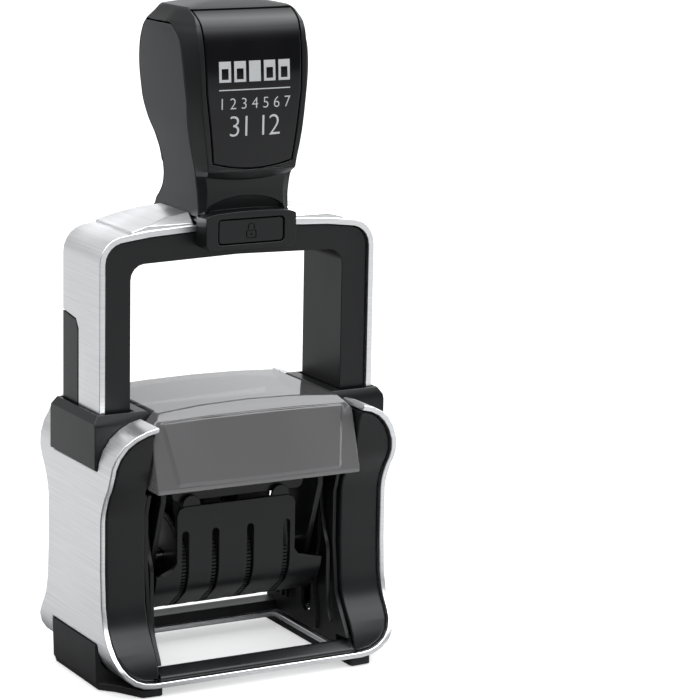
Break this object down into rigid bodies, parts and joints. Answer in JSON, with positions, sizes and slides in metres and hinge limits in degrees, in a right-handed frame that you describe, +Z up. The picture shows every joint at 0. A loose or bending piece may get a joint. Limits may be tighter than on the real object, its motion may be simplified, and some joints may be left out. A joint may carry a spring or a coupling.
{
  "type": "rotary date stamp",
  "caption": "Self-inking rotary date stamp: sprung bow with a handle over a metal-banded base, a smoky ink hood, and a flipping date unit with thumb wheels.",
  "frame": {"origin": "middle of the footprint, on the surface the stamp stands on", "axes": "+Z up, the operator's side faces -Y, +X to the operator's right"},
  "size_m": [0.0744, 0.0452, 0.155],
  "materials": {
    "brushed_metal": "brushed, satin",
    "moulded_black": "fine moulded texture",
    "foot_black": "matt",
    "smoke_plastic": "smoky, polished",
    "ink_felt": "inked felt",
    "grip_grey": "soft satin",
    "gloss_black": "high gloss",
    "card": "plain card",
    "band_rubber": "moulded rubber",
    "pin_steel": "turned"
  },
  "bodies": {
    "base": {"base_band": "brushed_metal", "front_frame": "moulded_black", "rear_frame": "moulded_black", "side_wall_left": "moulded_black", "side_wall_right": "moulded_black", "corner_cap_left": "moulded_black", "corner_cap_right": "moulded_black", "foot_left": "foot_black", "foot_right": "foot_black", "hood": "smoke_plastic", "pad_rail_left": "moulded_black", "pad_rail_right": "moulded_black", "spring_post_left": "pin_steel", "spring_post_right": "pin_steel", "return_spring_left": "pin_steel", "return_spring_right": "pin_steel"},
    "pad_drawer": {"ink_pad_tray": "moulded_black", "ink_pad": "ink_felt"},
    "bow": {"bow_band": "brushed_metal", "bow_liner": "moulded_black", "leg_strip_left": "moulded_black", "leg_strip_right": "moulded_black", "handle_core": "moulded_black", "grip_left": "grip_grey", "grip_right": "grip_grey", "handle_window": "gloss_black", "index_card": "card"},
    "date_unit": {"housing_front": "moulded_black", "housing_rear": "moulded_black", "yoke_left": "moulded_black", "yoke_right": "moulded_black", "flip_cam_left": "moulded_black", "flip_cam_right": "moulded_black", "pivot_pin_left": "pin_steel", "pivot_pin_right": "pin_steel", "die_plate": "moulded_black", "text_plate": "band_rubber", "band_bridge": "moulded_black", "wheel_axle": "pin_steel", "date_band_1": "band_rubber", "date_band_2": "band_rubber", "date_band_3": "band_rubber", "date_band_4": "band_rubber"},
    "lock_front": {"lock_button_front": "moulded_black"},
    "lock_rear": {"lock_button_rear": "moulded_black"},
    "wheel_1": {"date_wheel_1": "moulded_black"},
    "wheel_2": {"date_wheel_2": "moulded_black"},
    "wheel_3": {"date_wheel_3": "moulded_black"},
    "wheel_4": {"date_wheel_4": "moulded_black"}
  },
  "joints": [
    {"name": "press", "type": "slide", "parent": "base", "child": "bow", "axis": [0, 0, -1], "range_m": [0, 0.03], "stiffness_N_per_m": 150, "springref_m": -0.02, "deforming": ["return_spring_left", "return_spring_right"]},
    {"name": "flip", "type": "hinge", "parent": "bow", "child": "date_unit", "pos_m": [0, 0, 0.041], "axis": [1, 0, 0], "range_deg": [0, 181]},
    {"name": "pad_slide", "type": "slide", "parent": "base", "child": "pad_drawer", "axis": [0, 1, 0], "range_m": [0, 0.034]},
    {"name": "lock_press_front", "type": "slide", "parent": "bow", "child": "lock_front", "axis": [0, 1, 0], "range_m": [0, 0.0015], "stiffness_N_per_m": 300, "springref_m": -0.001},
    {"name": "lock_press_rear", "type": "slide", "parent": "bow", "child": "lock_rear", "axis": [0, -1, 0], "range_m": [0, 0.0015], "stiffness_N_per_m": 300, "springref_m": -0.001},
    {"name": "wheel_turn_1", "type": "hinge", "parent": "date_unit", "child": "wheel_1", "pos_m": [-0.0142, 0, 0.026], "axis": [1, 0, 0], "continuous": true},
    {"name": "wheel_turn_2", "type": "hinge", "parent": "date_unit", "child": "wheel_2", "pos_m": [-0.0065, 0, 0.026], "axis": [1, 0, 0], "continuous": true},
    {"name": "wheel_turn_3", "type": "hinge", "parent": "date_unit", "child": "wheel_3", "pos_m": [0.0025, 0, 0.026], "axis": [1, 0, 0], "continuous": true},
    {"name": "wheel_turn_4", "type": "hinge", "parent": "date_unit", "child": "wheel_4", "pos_m": [0.012, 0, 0.026], "axis": [1, 0, 0], "continuous": true}
  ],
  "couplings": [
    {"joint": "flip", "follows": "press", "rad_per_m": 104.72}
  ]
}
